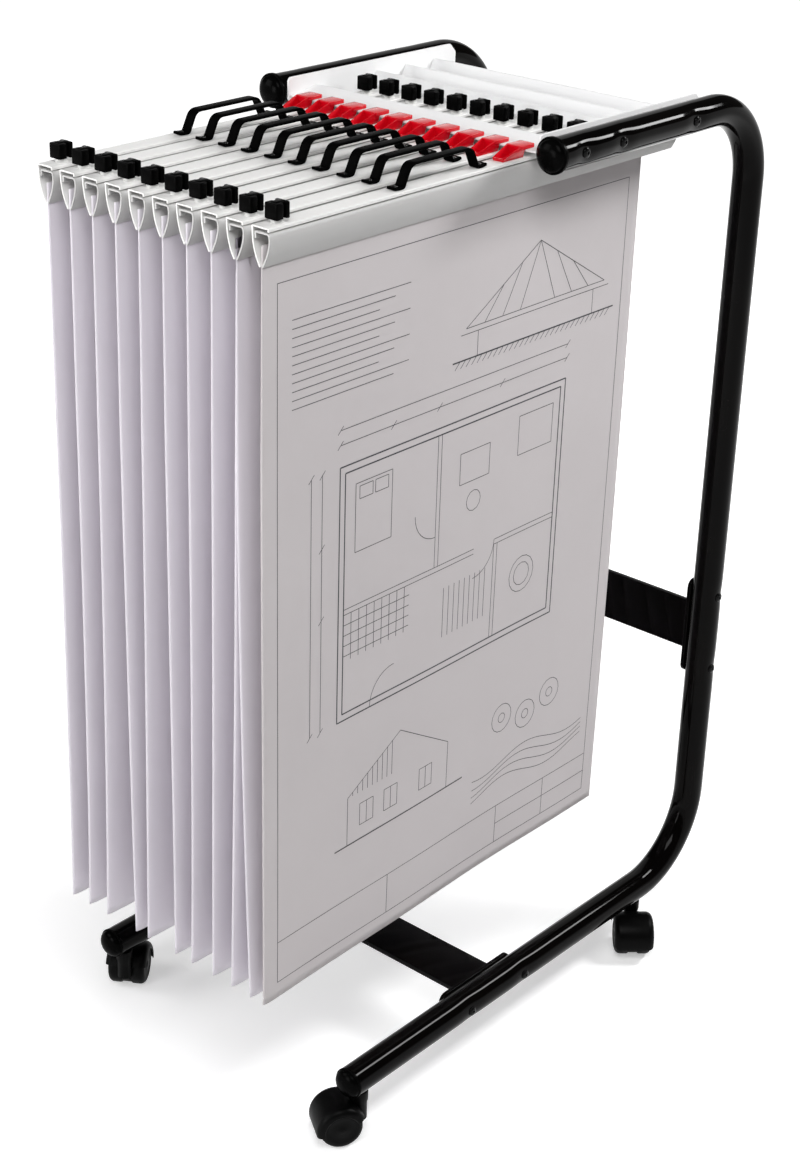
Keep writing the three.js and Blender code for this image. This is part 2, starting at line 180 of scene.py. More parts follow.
def arc(centre, radius, start, end, steps):
    """Points on a circle: centre + radius (cos a, sin a), for a from start to end in degrees."""
    a = np.radians(np.linspace(start, end, steps + 1))
    return np.asarray(centre, float) + radius * np.stack([np.cos(a), np.sin(a)], -1)


def rectangle(width, height, rounding=0.0, steps=5):
    """A rectangle about the origin, its corners rounded."""
    w, h = width / 2, height / 2
    corners = [[-w, -h], [w, -h], [w, h], [-w, h]]
    return soften(corners, rounding, steps, closed=True) if rounding else np.array(corners, float)


def normals_of(line, closed):
    """At each point the mitred normal: the mean of its two sides' normals, lengthened to keep width."""
    step = np.roll(line, -1, 0) - line
    if not closed:
        step[-1] = step[-2]
    step = unit(step)
    last = np.roll(step, 1, 0)
    if not closed:
        last[0] = step[0]
    side, side_before = (np.stack([-s[:, 1], s[:, 0]], -1) for s in (step, last))
    middle = unit(side + side_before)
    return middle / np.sum(middle * side, axis=1, keepdims=True)


def strip(line, thickness):
    """The outline of a folded strip: its middle line moved half a thickness to each side."""
    n = normals_of(np.asarray(line, float), closed=False) * thickness / 2
    return np.concatenate([line - n, (line + n)[::-1]])


# %% Three ways to carry an outline
def carry(profile, path, across, over):
    """A profile (u, v) carried along a path: point = path + u * across + v * over."""
    profile = np.asarray(profile, float)
    if profile.ndim == 2:
        profile = np.broadcast_to(profile, (len(path), *profile.shape))
    u, v = profile[..., :1], profile[..., 1:]
    return path[:, None] + u * across[:, None] + v * over[:, None]


def straight(profile, start, end, across, over):
    """A profile carried along one straight line, square to it."""
    hold = np.ones((2, 1))
    return shell(carry(profile, np.array([start, end]), hold * across, hold * over))


def spin(profile, centre, axis, out, steps=48, start=0.0, end=360.0):
    """A profile (radius, along) turned about an axis: point = centre + along * axis + radius * spoke."""
    full = abs(end - start) >= 360
    a = np.radians(np.linspace(start, end, steps + 1)[: steps if full else None])[:, None]
    spokes = np.cos(a) * out + np.sin(a) * np.cross(axis, out)
    profile = np.asarray(profile, float)
    points = centre + profile[None, :, 1:] * axis + profile[None, :, :1] * spokes[:, None]
    return shell(points, wrap_rows=full, wrap_columns=not full, caps=not full)


def slab(outline, thickness, rounding, origin, across, over, through, steps=3):
    """A flat plate with rounded rims.

    Rings of the outline are drawn in by r (1 - sin a) and set in depth by r (1 - cos a).
    """
    outline = np.asarray(outline, float)
    area = np.sum(outline[:, 0] * np.roll(outline[:, 1], -1) - np.roll(outline[:, 0], -1) * outline[:, 1])
    inward = normals_of(outline, closed=True) * np.sign(area)
    a = np.linspace(0, np.pi / 2, steps + 1)
    draw = rounding * (1 - np.sin(a))
    deep = rounding * (1 - np.cos(a))
    draw, deep = np.concatenate([draw, draw[::-1]]), np.concatenate([deep, thickness - deep[::-1]])
    ring = outline[None] + inward[None] * draw[:, None, None]
    local = np.concatenate([ring, np.broadcast_to(deep[:, None, None], (*ring.shape[:2], 1))], -1)
    return shell(origin + local @ np.array([across, over, through]))


X, Y, Z = np.eye(3)
print("surface helpers ready")

# %% [markdown]
# ## Shared effects of the finishes
#
# No real surface is one flat colour. Three small node groups serve every finish: a slow drift between
# two tones, a roughness that wanders as if touched, and a fine height for orange peel, moulded grain
# or paper fibre. They read Object coordinates, so they stay put when a piece moves.

# %% Shader nodes
def feed(tree, inputs, values):
    """Give a node's inputs their values: another node's output is linked, anything else stays fixed."""
    for label, value in values.items():
        if isinstance(value, bpy.types.NodeSocket):
            tree.links.new(value, inputs[label])
        else:
            inputs[label].default_value = value


def add(tree, kind, values=None, **settings):
    """A new shader node with its settings and inputs; its outputs are handed back."""
    node = tree.nodes.new("ShaderNode" + kind)
    for label, value in settings.items():
        setattr(node, label, value)
    feed(tree, node.inputs, values or {})
    return node.outputs


def ranged(tree, value, span, levels, easing="SMOOTHSTEP"):
    """A value that runs over a span, turned into one that runs from the first level to the second."""
    labels = ("Value", "From Min", "From Max", "To Min", "To Max")
    values = dict(zip(labels, (value, *span, *levels)))
    return add(tree, "MapRange", values, interpolation_type=easing)["Result"]


# %% Node groups
noise_span = (0.3, 0.7)
shape = {"Scale": "Float", "Stretch": "Vector"}


def new_group(name, inputs, outputs):
    """A node group with sockets that are given as {name: kind}."""
    group = bpy.data.node_groups.new(name, "ShaderNodeTree")
    for way, sockets in (("INPUT", inputs), ("OUTPUT", outputs)):
        for label, kind in sockets.items():
            group.interface.new_socket(label, in_out=way, socket_type="NodeSocket" + kind)
    start, end = group.nodes.new("NodeGroupInput"), group.nodes.new("NodeGroupOutput")
    return group, start.outputs, end.inputs


def stretched_noise(group, sockets, detail):
    """Noise on Object coordinates, stretched by the group's Stretch vector and sized by its Scale."""
    place = add(group, "TexCoord")["Object"]
    place = add(group, "VectorMath", {0: place, 1: sockets["Stretch"]}, operation="MULTIPLY")[0]
    return add(group, "TexNoise", {"Vector": place, "Scale": sockets["Scale"], "Detail": detail})[0]


tone_drift, sockets, result = new_group(
    "tone drift", {"First": "Color", "Second": "Color", **shape}, {"Color": "Color"}
)
noise = stretched_noise(tone_drift, sockets, 4.0)
share = ranged(tone_drift, noise, noise_span, (0.0, 1.0), "LINEAR")
blend = {"Factor": share, "A": sockets["First"], "B": sockets["Second"]}
feed(tone_drift, result, {"Color": add(tone_drift, "Mix", blend, data_type="RGBA")["Result"]})

handling, sockets, result = new_group(
    "handling marks", {"Smooth": "Float", "Rough": "Float", **shape}, {"Roughness": "Float"}
)
noise = stretched_noise(handling, sockets, 6.0)
marks = ranged(handling, noise, noise_span, (sockets["Smooth"], sockets["Rough"]), "LINEAR")
feed(handling, result, {"Roughness": marks})

grain, sockets, result = new_group("fine grain", shape, {"Height": "Float"})
feed(grain, result, {"Height": stretched_noise(grain, sockets, 3.0)})
print("node groups:", [g.name for g in bpy.data.node_groups])

# %% [markdown]
# ## The finishes
#
# Each finish is one Principled material fed by the three groups. Values that are the same all over,
# such as the strength of the gloss, are set on the shader's own sockets. The black tubes have a
# glossy powder coat, the plastics are satin, and the paper is matt with a cool tint.

# %% Material maker
def grey(level):
    """A neutral colour."""
    return level, level, level


EVEN = (1.0, 1.0, 1.0)
ALONG_Y = (1.0, 0.04, 1.0)


def finish(name, tones, rough, relief, gloss=0.5, metal=0.0, drift=9.0, stretch=EVEN):
    """A Principled material whose colour, roughness and height come from the shared groups.

    Tones and rough give the two ends of each drift, and relief the grain's size and depth in mm.
    """
    material = bpy.data.materials.new(name)
    material.use_nodes = True
    tree = material.node_tree
    first, second = ((*tone, 1) for tone in tones)
    colours = {"First": first, "Second": second, "Scale": drift, "Stretch": stretch}
    marks = {"Smooth": rough[0], "Rough": rough[1], "Scale": 3 * drift, "Stretch": stretch}
    grain_size, grain_depth = relief
    fine = {"Scale": METRE / grain_size, "Stretch": stretch}
    height = add(tree, "Group", fine, node_tree=grain)["Height"]
    feed(tree, tree.nodes["Principled BSDF"].inputs, {
        "Base Color": add(tree, "Group", colours, node_tree=tone_drift)["Color"],
        "Roughness": add(tree, "Group", marks, node_tree=handling)["Roughness"],
        "Normal": add(tree, "Bump", {"Height": height, "Distance": grain_depth / METRE})["Normal"],
        "Specular IOR Level": gloss,
        "Metallic": metal,
    })
    return material


# %% The rack's materials
coat_tones = (0.0012, 0.0010, 0.0010), (0.0024, 0.0019, 0.0017)
plastic_tones = grey(0.001), grey(0.002)
gloss_black = finish("gloss black powder coat", coat_tones, (0.05, 0.10), (4.0, 0.004), gloss=0.06)
satin_black = finish("satin black plastic", plastic_tones, (0.2, 0.32), (0.6, 0.03), gloss=0.002)
cap_black = finish("black cap plastic", plastic_tones, (0.16, 0.28), (1.0, 0.02), gloss=0.018)
castor_black = finish("castor hood nylon", plastic_tones, (0.34, 0.48), (0.8, 0.04), gloss=0.06)

wheel_black = finish("castor wheel nylon", (grey(0.0015), grey(0.003)), (0.4, 0.55), (0.8, 0.05), gloss=0.06)
bolt_black = finish("blackened bolt steel", (grey(0.003), grey(0.002)), (0.14, 0.24), (0.7, 0.01), gloss=0.1)
rivet_steel = finish("dark rivet steel", (grey(0.10), grey(0.06)), (0.18, 0.3), (0.6, 0.02), metal=1.0)

paint_tones = grey(0.87), (0.85, 0.85, 0.855)
outer_tones = (0.88, 0.875, 0.86), (0.84, 0.835, 0.82)
# The inner jaw is the same white plastic as the outer one: its darker tones are painted shade on the
# hanger's sides and inner flange.
inner_jaw_shade_tones = (0.58, 0.575, 0.57), (0.55, 0.546, 0.54)
washer_tones = (0.76, 0.76, 0.74), (0.70, 0.70, 0.69)
clip_tones = (0.60, 0.001, 0.008), (0.67, 0.002, 0.013)
white_paint = finish("white powder coat", paint_tones, (0.58, 0.74), (2.0, 0.04), gloss=0.04)
hanger_white = finish(
    "extruded hanger plastic", outer_tones, (0.32, 0.46), (2.5, 0.05), gloss=0.3, stretch=ALONG_Y
)
inner_jaw_painted_shade = finish(
    "hanger plastic with painted shade", inner_jaw_shade_tones, (0.36, 0.5), (2.5, 0.05), gloss=0.2, stretch=ALONG_Y
)
washer_white = finish("white nylon washer", washer_tones, (0.35, 0.5), (0.8, 0.03))
clip_red = finish("red clip plastic", clip_tones, (0.15, 0.24), (0.9, 0.02), gloss=0.26)

paper_tones = (0.82, 0.78, 0.84), (0.79, 0.753, 0.81)
# The near sheet is the same paper as the others: its darker tones are painted shade on its face.
near_sheet_shade_tones = (0.65, 0.612, 0.62), (0.625, 0.588, 0.596)
ink_tones = (0.03, 0.03, 0.035), (0.07, 0.07, 0.075)
paper_white = finish("drawing paper", paper_tones, (0.75, 0.92), (0.7, 0.03), drift=5.0)
near_sheet_painted_shade = finish("drawing paper with painted shade", near_sheet_shade_tones, (0.75, 0.92), (0.7, 0.03), drift=5.0)
ink_grey = finish("drawing ink", ink_tones, (0.6, 0.8), (0.8, 0.01), drift=40.0)
print("materials:", len(bpy.data.materials))

# %% [markdown]
# ## The bent tubes
#
# Each side of the rack is one steel tube, bent twice and pressed flat where each bolt draws it against
# its plate, which shows in the highlight. So the radius is a formula: the round radius, less a soft
# hollow at each bolt, plus a small swelling under it. The arms are pressed the most.

# %% The path of a side tube
top_bend, foot_bend, bend_steps = 90.0, 105.0, 24
arm_spacing, leg_spacing = 3.0, 4.0
arm_cap_length = 13.0
arm_front = node_box("right_arm_cap")[0][1] + arm_cap_length


def run(start, end, spacing):
    """Even stations along a straight stretch, both ends included."""
    count = max(2, int(np.ceil(np.linalg.norm(np.subtract(end, start)) / spacing)) + 1)
    return np.linspace(start, end, count)


def side_path():
    """Middle line (y, z) of the tube: back along the arm, down the upright, forward along the leg."""
    top = arc((upright_y - top_bend, arm_z - top_bend), top_bend, 90, 0, bend_steps)
    foot = arc((upright_y - foot_bend, leg_z + foot_bend), foot_bend, 0, -90, bend_steps)
    parts = [
        run((arm_front, arm_z), top[0], arm_spacing)[:-1],
        top,
        run(top[-1], foot[0], leg_spacing)[1:-1],
        foot,
        run(foot[-1], (leg_front, leg_z), leg_spacing)[1:],
    ]
    return np.concatenate(parts)


path_yz = side_path()
heading = unit(np.gradient(path_yz, axis=0))
print("tube path of %d stations" % len(path_yz))

# %% Bolts that hold the rack plates and the crossbars
upper_bar_z = node_middle("upper_crossbar")[2]
lower_bar_y = node_middle("lower_crossbar")[1]
bolt_from_bar = 50.0
arm_bolts = arm_front + np.array([33.0, 98.0, 232.0])
bolt_places = np.array(
    [(y, arm_z) for y in arm_bolts]
    + [(upright_y, upper_bar_z + d) for d in (bolt_from_bar, -bolt_from_bar)]
    + [(lower_bar_y + d, leg_z) for d in (bolt_from_bar, -bolt_from_bar)]
)
print("bolts on each tube:", len(bolt_places))

# %% The tubes
press_length, press_angle = 10.0, 0.6
swelling, swell_at, swell_angle = 0.2, -1.45, 0.5
arm_press, other_press = 2.0, 1.1
press_depth = np.where(bolt_places[:, 1] == arm_z, arm_press, other_press)
tube_sides = 48


def pressed_radius(angle):
    """Radius over the tube: r + near (swelling * under - out).

    Near is the press depth, which fades along the tube as a bell curve about each bolt. Out and under
    fade round the tube in the same way from its outer side and from below it.
    """
    gap = np.linalg.norm(path_yz[:, None] - bolt_places[None], axis=2)
    near = (press_depth * np.exp(-((gap / press_length) ** 2) / 2)).max(axis=1)[:, None]
    turn = np.angle(np.exp(1j * angle))[None]
    out = np.exp(-((turn / press_angle) ** 2) / 2)
    under = np.exp(-(((turn - swell_at) / swell_angle) ** 2) / 2)
    return tube_radius + near * (swelling * under - out)


def side_tube(sign):
    """Rings round the path: point = path + r (cos a * outward + sin a * normal)."""
    angle = np.linspace(0, 2 * np.pi, tube_sides, endpoint=False)
    radius = pressed_radius(angle)
    rings = np.stack([radius * np.cos(angle), radius * np.sin(angle)], -1)
    path = np.column_stack([np.full(len(path_yz), sign * tube_x), path_yz])
    outward = np.tile(sign * X, (len(path), 1))
    normal = np.column_stack([np.zeros(len(path)), -heading[:, 1], heading[:, 0]])
    return shell(carry(rings, path, outward, normal))


SIDES = {"left": -1, "right": 1}
for side, sign in SIDES.items():
    node = f"{side}_side_tube"
    piece(f"{side}_bent_tube", [side_tube(sign)], gloss_black, "frame", [node])
print("tubes made")

# %% [markdown]
# ## Button-head bolts
#
# The bolts are domes with a six-sided socket. A bolt is a spun profile whose inner rings slide from a
# circle to a hexagon: the distance of a hexagon's side at angle a is apothem / cos(a mod 60 - 30).

# %% A bolt head
bolt_radius, bolt_height, bolt_edge, bolt_root = 5.6, 2.8, 0.6, 2.0
bolt_sides, dome_rings, dome_angle = 36, 7, 1.25
socket_apothem, socket_depth = 2.0, 1.6
socket_share = np.array([1.06, 1.0, 0.98, 0.02])
socket_sink = np.array([0.0, 0.2, socket_depth, socket_depth + 0.4])


def bolt_head(foot, out, up):
    """A domed head on `foot`, pointing along `out`, with a hexagon socket sunk into its crown."""
    turn = np.linspace(0, 2 * np.pi, bolt_sides, endpoint=False)
    hexagon = socket_apothem / np.cos(np.mod(turn, np.pi / 3) - np.pi / 6)
    swing = np.linspace(0, dome_angle, dome_rings)
    dome_radius = np.concatenate([[1.0], np.cos(swing)]) * bolt_radius
    dome_height = np.concatenate([[-bolt_root], bolt_edge + np.sin(swing) * (bolt_height - bolt_edge)])
    dome_rows = np.repeat(dome_radius[:, None], bolt_sides, 1)
    radius = np.concatenate([dome_rows, socket_share[:, None] * hexagon])
    height = np.concatenate([dome_height, bolt_height - socket_sink])
    side = np.cross(out, up)
    spoke = np.cos(turn)[:, None] * up + np.sin(turn)[:, None] * side
    return shell(foot + radius[..., None] * spoke[None] + height[:, None, None] * out)


for side, sign in SIDES.items():
    seat_x = sign * (tube_x + tube_radius - press_depth)
    feet = np.column_stack([seat_x, bolt_places])
    heads = [bolt_head(foot, sign * X, Z) for foot in feet]
    piece(f"{side}_bolts", heads, bolt_black, "frame")
print("bolts made")

# %% [markdown]
# ## End caps
#
# A plastic plug closes each tube end. The arm's cap has a rim a little wider than the tube and a domed
# face, with a fine groove between them that catches a second highlight. A spun profile gives all that.

# %% Caps
rim_radius = (node_box("right_arm_cap")[1][0] - node_box("right_arm_cap")[0][0]) / 2


def dome(radius, start, height, steps=10):
    """A quarter of an ellipse from the rim to the pole: (radius cos a, start + height sin a)."""
    a = np.linspace(0, np.pi / 2, steps)
    return np.stack([radius * np.cos(a), start + height * np.sin(a)], -1)


plug_radius, cap_gap = tube_radius - 2.4, 0.3


def cap_profile(plug, rim, edge, insets, heights, nose):
    """Profile (radius, along) of a cap: a plug, a softened rim, a groove and a dome up to the nose.

    Insets from the rim and heights place the rim's edge and shoulder, the groove, and the dome's foot.
    """
    line = np.column_stack([rim - np.array(insets), heights])
    dome_radius, dome_foot = line[-1]
    return np.concatenate([
        [[0, -plug], [plug_radius, -plug]],
        soften([[plug_radius, cap_gap], [rim, cap_gap], *line[:2]], edge),
        line[2:-1],
        dome(dome_radius, dome_foot, nose - dome_foot),
    ])


leg_rim = tube_radius + 0.4
leg_nose = leg_front - node_box("right_leg_cap")[0][1]
arm_insets, arm_heights = (0, 1.6, 1.9, 2.2, 2.4), (4.6, 4.8, 4.3, 4.8, 5.0)
leg_insets, leg_heights = (0, 1.0, 1.2, 1.4, 1.5), (2.6, 2.9, 2.5, 3.0, 3.2)
arm_profile = cap_profile(10.0, rim_radius, 0.8, arm_insets, arm_heights, arm_cap_length)
leg_profile = cap_profile(7.0, leg_rim, 0.5, leg_insets, leg_heights, leg_nose)
cap_places = {"arm": (arm_profile, arm_front, arm_z), "leg": (leg_profile, leg_front, leg_z)}
for side, sign in SIDES.items():
    for end, (profile, y, z) in cap_places.items():
        cap = spin(profile, (sign * tube_x, y, z), -Y, X, steps=56)
        node = f"{side}_{end}_cap"
        piece(f"{side}_{end}_end_cap", [cap], cap_black, "frame", [node])
print("caps made")

# %% [markdown]
# ## Crossbars
#
# Two flat bars hold the sides apart. Each ends in a round-ended plate that lies on the tube and is
# bolted through it. Bar and plates are welded, so a bead of weld runs round each joint: a small circle
# carried round the bar's outline, with its size rippling as a welder's bead does.

# %% Bars, plates and weld beads
end_plate = 5.0
bar_end = node_box("upper_crossbar")[1][0] - end_plate
bar_thick, bar_wide, bar_edge = 7.0, 66.0, 1.2
plate_long, plate_wide, plate_edge = 128.0, 20.0, 0.8
weld_size, weld_ripple, ripple_step, weld_sides = 2.2, 0.35, 0.9, 10


def stadium(length, width):
    """A round-ended outline, upright along its second axis."""
    reach, radius = (length - width) / 2, width / 2
    return np.concatenate([arc((0, reach), radius, 0, 180, 16), arc((0, -reach), radius, 180, 360, 16)])


def weld_bead(centre, across, over):
    """A torus-like bead round the bar's end: a circle of rippling radius on the bar's outline."""
    outline = soften(rectangle(bar_thick, bar_wide), 2.0, 8, closed=True)
    ends = zip(outline, np.roll(outline, -1, 0))
    outline = np.concatenate([np.linspace(start, end, 14)[:-1] for start, end in ends])
    normal = unit(-normals_of(outline, closed=True))
    axes = np.array([across, over], float)
    path = centre + outline @ axes
    size = weld_size + weld_ripple * np.sin(np.arange(len(path)) * ripple_step)
    a = np.linspace(0, 2 * np.pi, weld_sides, endpoint=False)
    ring = size[:, None, None] * np.stack([np.cos(a), np.sin(a)], -1)[None]
    along = np.tile(X, (len(path), 1))
    return shell(carry(ring, path, normal @ axes, along), wrap_rows=True, caps=False)


bar_outline = rectangle(bar_thick, bar_wide, bar_edge)
plate_outline = stadium(plate_long, plate_wide)
bar_places = {"upper": (upright_y, upper_bar_z, Y, Z), "lower": (lower_bar_y, leg_z, Z, Y)}
for name, (y, z, thin, wide) in bar_places.items():
    middle = np.array([0, y, z])
    shells = [straight(bar_outline, middle - bar_end * X, middle + bar_end * X, thin, wide)]
    for sign in SIDES.values():
        foot = middle + sign * bar_end * X
        shells.append(slab(plate_outline, end_plate, plate_edge, foot, thin, wide, sign * X))
        shells.append(weld_bead(foot, thin, wide))
    piece(f"{name}_welded_crossbar", shells, gloss_black, "frame", [f"{name}_crossbar"])
print("crossbars made")

# %% [markdown]
# ## The white rack
#
# Two long eight-sided plates lie inside the arms and carry the folded sheet metal between them: a front
# rail for the hook clips, and a rear panel with three pressed ridges. A folded sheet is a line with
# softened corners, given a thickness and carried across the rack.

# %% Plates, rail and ridged panel
sheet_metal, metal_edge = 2.0, 0.3
plate_corner, top_front_corner, plate_rim = 10.0, 3.0, 0.5
rack_left, rack_right = (corner[0] for corner in node_box("front_rail"))

for side, sign in SIDES.items():
    low, high = node_box(f"{side}_rack_plate")
    c, t = plate_corner, top_front_corner
    corners = [
        (low[1] + c, low[2]), (high[1] - c, low[2]), (high[1], low[2] + c), (high[1], high[2] - c),
        (high[1] - c, high[2]), (low[1] + t, high[2]), (low[1], high[2] - t), (low[1], low[2] + c),
    ]
    outline = soften(corners, 1.5, 4, closed=True)
    plate = slab(outline, high[0] - low[0], plate_rim, (low[0], 0, 0), Y, Z, X)
    piece(f"{side}_plate", [plate], white_paint, "frame", [f"{side}_rack_plate"])


def folded(name, line, bend, node):
    """A folded sheet across the rack, its middle line (y, z) softened at the bends."""
    profile = strip(soften(line, bend, 6), sheet_metal)
    metal = straight(profile, rack_left * X, rack_right * X, Y, Z)
    piece(name, [metal], white_paint, "frame", [node], metal_edge)


half = sheet_metal / 2
rail_low, rail_high = node_box("front_rail")
lip_depth, slope_depth, tail_depth = 16.0, 26.0, 16.0
lip_over_hanger, ridge_below, tail_below = 8.2, 0.8, 7.4
lip_z = hanger_top + lip_over_hanger - half
ridge_z = rail_high[2] - half
lip_end = rail_low[1] + lip_depth
ridge_y = lip_end + slope_depth
rail_line = [
    (rail_low[1], lip_z), (lip_end, lip_z), (ridge_y, ridge_z - ridge_below),
    (ridge_y + tail_depth, ridge_z - tail_below),
]
folded("folded_front_rail", rail_line, [1, 3, 2, 1], "front_rail")

panel_low, panel_high = node_box("rear_panel")
ridge_run, ridge_pitch, ridge_count, ridge_bend = 7.0, 51.0, 3, 1.6
crest_below, panel_gap = 0.6, 0.4
valley_z = panel_low[2] + half
crest_z = panel_high[2] - half - crest_below
crests = panel_low[1] + 2 * ridge_run + ridge_pitch * np.arange(ridge_count)
ridges = [point for y in crests for point in ((y - ridge_run, valley_z), (y, crest_z))]
panel_line = [(panel_low[1], valley_z), *ridges, (panel_high[1] - panel_gap, valley_z)]
folded("ridged_rear_panel", panel_line, ridge_bend, "rear_panel")
print("rack made")

# %% [markdown]
# ## Castors
#
# A twin-wheel castor is a hood that swivels on a stem, with a wheel on each side of its web. The hood
# is a thin rounded profile turned part of the way round the axle. The wheels are spun whole, with a
# nearly flat hub. Each castor is turned its own way, and its two joints in the frame say which.

# %% Castor profiles
wheel_low, wheel_high = node_box("front_left_castor_wheels")
wheel_radius = (wheel_high[2] - wheel_low[2]) / 2
wheel_inner, wheel_outer, wheel_round = 6.0, 23.0, 7.0
hood_gap, hood_wall, hood_web, web_clearance = 1.5, 2.5, 10.0, 1.5
hood_from, hood_to = 24.5, 192.0
neck_radius, neck_foot, neck_waist, neck_shoulder = 10.0, 24.0, 46.0, 50.0
neck_top = leg_z - tube_radius - 0.4


def rounded_side(radius, side, rounding, steps=8):
    """From the rim to the side face: a quarter circle at the outer corner."""
    return arc((radius - rounding, side - rounding), rounding, 0, 90, steps)


def both_sides(profile):
    """A profile and its mirror image, as one line from left to right."""
    profile = np.asarray(profile, float)
    return np.concatenate([(profile * [1, -1])[::-1], profile])


bore = wheel_radius + hood_gap
cover = bore + hood_wall
hood_outside = both_sides(rounded_side(cover, wheel_outer + hood_wall, wheel_round + 1))
hood_inside = both_sides(rounded_side(bore, wheel_outer + hood_gap, wheel_round))
hood_profile = np.concatenate([hood_outside, hood_inside[::-1]])
web = np.concatenate([
    arc((0, 0), cover - 1, 0, 180, 24),
    arc((0, 0), wheel_radius - web_clearance, 180, 360, 24),
])
waist_radius = neck_radius - 1
neck = np.concatenate([
    [[0, neck_foot], [waist_radius, neck_foot], [waist_radius, neck_waist]],
    soften([[neck_radius, neck_shoulder], [neck_radius, neck_top], [0, neck_top]], 1.2),
])
hub = [(17.0, 23.0), (15.5, 22.4), (4.2, 22.6), (3.4, 23.2), (0, 23.4)]
wheel_profile = np.concatenate([
    [[0, wheel_inner], [wheel_radius - 2, wheel_inner], [wheel_radius - 0.6, wheel_inner + 0.6]],
    [[wheel_radius, wheel_inner + 2]],
    rounded_side(wheel_radius, wheel_outer, wheel_round),
    hub,
])
print("castor wheel %.0f across, hood %.0f" % (2 * wheel_radius, 2 * cover))

# %% The four castors
joint_of = {joint["name"]: joint for joint in frame["joints"]}
for corner in ("front_left", "front_right", "rear_left", "rear_right"):
    axle = np.array(joint_of[f"{corner}_roll"]["pos_m"]) * METRE
    stem = np.array(joint_of[f"{corner}_swivel"]["pos_m"]) * METRE
    ahead = unit((stem - axle) * [1, 1, 0])
    across = np.cross(ahead, Z)
    shells = [
        spin(hood_profile, axle, across, ahead, steps=40, start=hood_from, end=hood_to),
        slab(web, hood_web, 0.6, axle - across * hood_web / 2, ahead, Z, across),
        spin(neck, stem * [1, 1, 0], Z, ahead, steps=32),
    ]
    body, node = f"{corner}_castor", f"{corner}_castor_hood"
    piece(f"{corner}_hood", shells, castor_black, body, [node])
    wheels = [spin(wheel_profile, axle, way * across, ahead, steps=56) for way in (-1, 1)]
    body, node = f"{corner}_wheels", f"{corner}_castor_wheels"
    piece(f"{corner}_wheel_pair", wheels, wheel_black, body, [node])
print("castors made")

# %% [markdown]
# ## Hanger jaws
#
# Each hanger is two extruded jaws that close on a sheet. Seen from the end, the outer jaw is a hooked
# strip that lies over the inner jaw's flange, and both walls curve down to meet. The curves are
# quadratic and cubic blends of a few corner points, and the strip is carried along the hanger.

# %% Jaw outlines
hanger_width, hanger_height, jaw_wall, flange_gap, flange_inset = 24.0, 38.0, 1.6, 3.4, 3.0
outer_lip, inner_lip, slit, fold = 3.6, 6.0, 1.4, 0.9
wall_start, belly_share = -3.0, 0.6
flange_edge = hanger_width / 2 - flange_inset
belly_z = -hanger_height * belly_share
foot_x = slit / 2 + jaw_wall / 2


def bezier(points, steps=16):
    """A Bezier curve: repeated blending of neighbours until one point is left, at every t at once."""
    t = np.linspace(0, 1, steps)[:, None]
    level = [np.broadcast_to(np.asarray(p, float), (steps, 2)) for p in points]
    while len(level) > 1:
        level = [(1 - t) * a + t * b for a, b in zip(level, level[1:])]
    return level[0]


wall_x = hanger_width / 2 - jaw_wall / 2
top_z = -jaw_wall / 2
hook = [(flange_edge, -outer_lip), (flange_edge, top_z), (-wall_x, top_z), (-wall_x, wall_start)]
outer_line = np.concatenate([
    soften(hook, fold)[:-1],
    bezier([(-wall_x, wall_start), (-wall_x, belly_z), (-foot_x, -hanger_height)]),
])
flange_z = -1.5 * jaw_wall - flange_gap
inner_left = jaw_wall - hanger_width / 2 + flange_gap
flange = [(inner_left, flange_z - inner_lip), (inner_left, flange_z), (0, flange_z)]
shoulder = [(flange_edge - jaw_wall, flange_z), (wall_x + jaw_wall, flange_z)]
inner_line = np.concatenate([
    soften(flange, fold)[:-1],
    bezier([*shoulder, (wall_x, belly_z), (foot_x, -hanger_height)]),
])
print("jaw outlines of %d and %d points" % (len(outer_line), len(inner_line)))

# %% [markdown]
# ## Knobs, handles and clips
#
# On top of each hanger stand two black clamping knobs on white washers, a strap handle with riveted
# feet, and a red clip whose top plate hooks over the front rail. All of them are put together from
# slabs, spun profiles and carried bars.

# %% Sizes along the hanger
knob_y = {place: node_middle(f"{place}_knob_1")[1] for place in ("front", "rear")}
handle_from_front, clip_from_front = 247.0, 341.0
handle_y = hanger_front + handle_from_front
clip_y = hanger_front + clip_from_front
print("handle at %.1f, clip at %.1f" % (handle_y, clip_y))

# %% A knob and its washer
knob_width, knob_depth, knob_height = knob_high - knob_low
knob_block, knob_tail, knob_hub, knob_rim = 10.0, 4.5, 8.0, 1.2
washer_profile = [(0, -0.4), (6.2, -0.4), (6.2, 2.6), (5.6, 3.5), (2.5, 3.7), (2.5, 3.9), (0, 3.9)]


def knob(x, y):
    """Block, rear slab and hub: three rounded outlines raised side by side."""
    base = np.array([x, y, hanger_top + knob_over_flange])
    front = base - Y * (knob_depth - knob_block) / 2
    rear = base + Y * (knob_depth - knob_tail) / 2
    parts = [
        (rectangle(knob_width, knob_block, 2.0), -0.6, front),
        (rectangle(knob_width, knob_tail, 1.6), -0.2, rear),
        (rectangle(knob_hub, knob_depth - 4, 2.5), 0.4, base + Y * 0.8),
    ]
    return [slab(outline, knob_height + rise, knob_rim, foot, X, Y, Z) for outline, rise, foot in parts]


def washer(x, y):
    """A turned disc with softened rims, and the pin that the knob turns on."""
    return spin(washer_profile, (x, y, hanger_top), Z, X, steps=32)


# %% A strap handle with its rivets
handle_top, handle_heel, handle_toe, handle_height = 92.0, 113.0, 138.0, 24.0
handle_bends, toe_lift = [1, 3, 2.2, 7, 7, 2.2, 3, 1], 1.0
strap_wide, strap_thick, strap_edge, strap_widening = 11.5, 3.0, 1.0, 0.05
rivet_radius, rivet_root, rivet_rim, rivet_dome = 2.8, -0.6, 0.2, 1.3
foot_middle = (handle_heel + handle_toe) / 4


